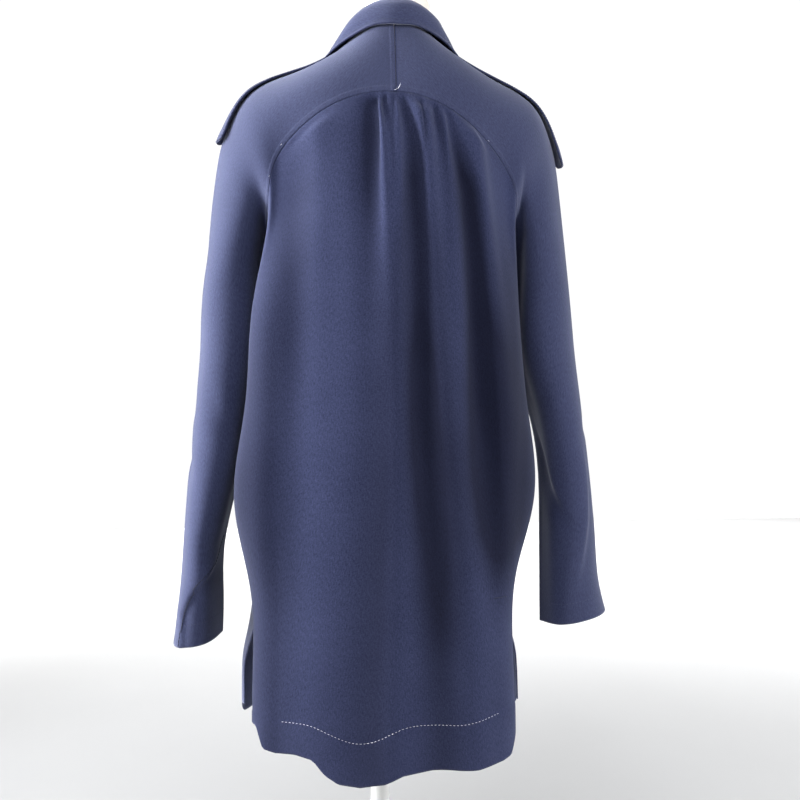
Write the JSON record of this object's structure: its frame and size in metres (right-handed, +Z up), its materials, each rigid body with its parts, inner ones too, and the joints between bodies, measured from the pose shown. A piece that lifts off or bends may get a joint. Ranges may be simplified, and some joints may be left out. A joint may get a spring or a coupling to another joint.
{
  "type": "blazer on dress form",
  "caption": "Long soft blazer with raglan sleeves, gathered back and shoulder tabs, worn on a limbless dress form on a pole stand.",
  "frame": {"origin": "centre of the stand's base on its underside", "axes": "+Z up along the pole, +X towards the wearer's left, +Y towards the wearer's back"},
  "size_m": [0.575, 0.33, 1.471],
  "materials": {
    "cloth": "matte navy crepe",
    "button": "satin navy",
    "form_cover": "matte cream jersey",
    "stand": "white enamel"
  },
  "bodies": {
    "root": {"back": "cloth", "front_left": "cloth", "front_right": "cloth", "lapel_left": "cloth", "lapel_right": "cloth", "sleeve_left": "cloth", "sleeve_right": "cloth", "tab_left": "cloth", "tab_right": "cloth", "collar": "cloth", "button_1": "button", "button_2": "button", "button_3": "button", "form_torso": "form_cover", "stand_pole": "stand", "stand_base": "stand"}
  },
  "joints": []
}
